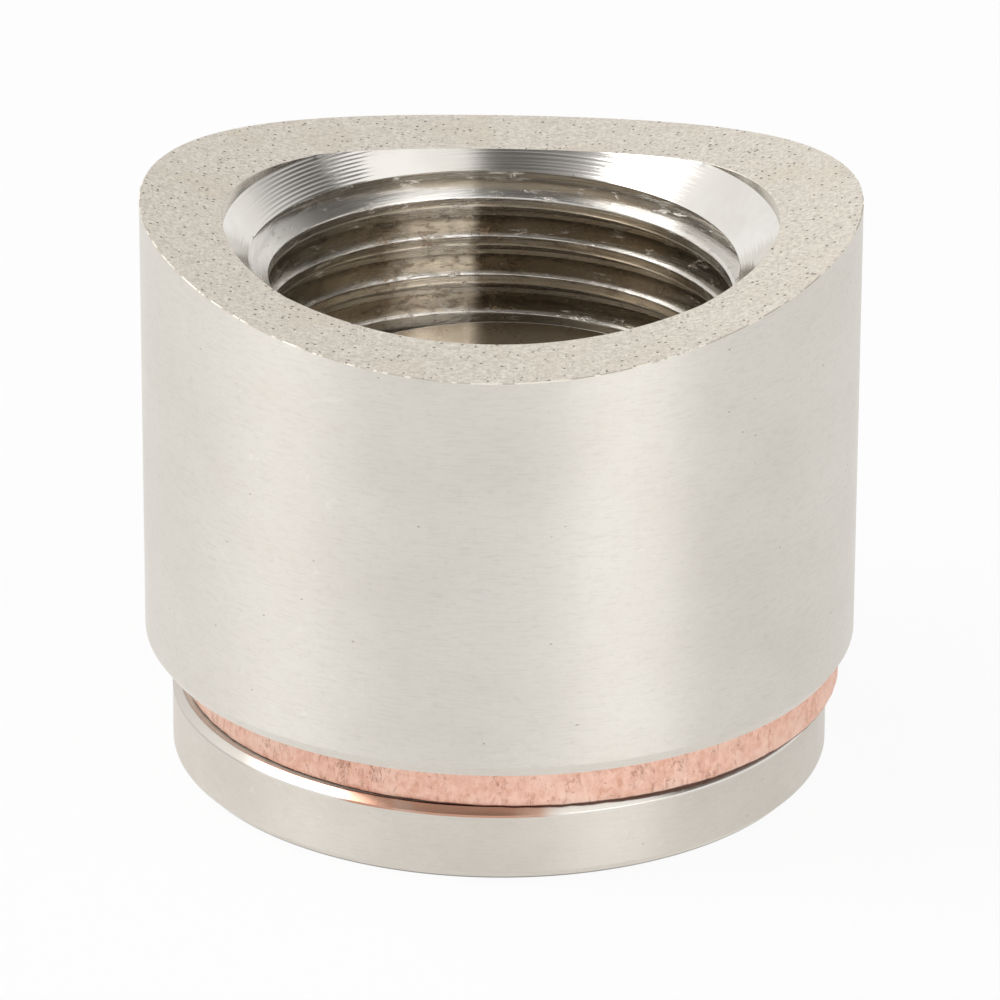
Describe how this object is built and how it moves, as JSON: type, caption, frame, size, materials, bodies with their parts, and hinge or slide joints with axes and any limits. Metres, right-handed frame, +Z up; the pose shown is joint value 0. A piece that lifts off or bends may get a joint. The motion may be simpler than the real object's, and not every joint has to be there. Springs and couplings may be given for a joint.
{
  "type": "weld bung",
  "caption": "Round steel weld bung with a saddle-cut top and an internally threaded bore, closed from below by a collared socket plug on a copper sealing washer.",
  "frame": {"origin": "on the bore axis, at the flat underside of the plug's collar, on which the part stands", "axes": "+Z up along the bore towards the saddle, Y along the pipe that the saddle is cut for"},
  "size_m": [0.0254, 0.0254, 0.0211],
  "materials": {
    "bung_steel": "satin turned stainless steel outside, sand-coloured matt saddle face, finely grooved cone, stained thread",
    "plug_steel": "satin turned stainless steel with fine horizontal marks",
    "copper": "dull pink copper with a rough sheared edge"
  },
  "bodies": {
    "bung": {"weld_bung": "bung_steel"},
    "washer": {"copper_washer": "copper"},
    "plug": {"plug": "plug_steel"}
  },
  "joints": [
    {"name": "washer_travel", "type": "slide", "parent": "bung", "child": "washer", "axis": [0, 0, -1], "range_m": [0, 0.009]},
    {"name": "plug_turn", "type": "hinge", "parent": "washer", "child": "plug", "pos_m": [0, 0, 0], "axis": [0, 0, -1], "range_deg": [0, 2160]}
  ],
  "couplings": [
    {"joint": "washer_travel", "follows": "plug_turn", "m_per_rad": 0.00023873}
  ]
}
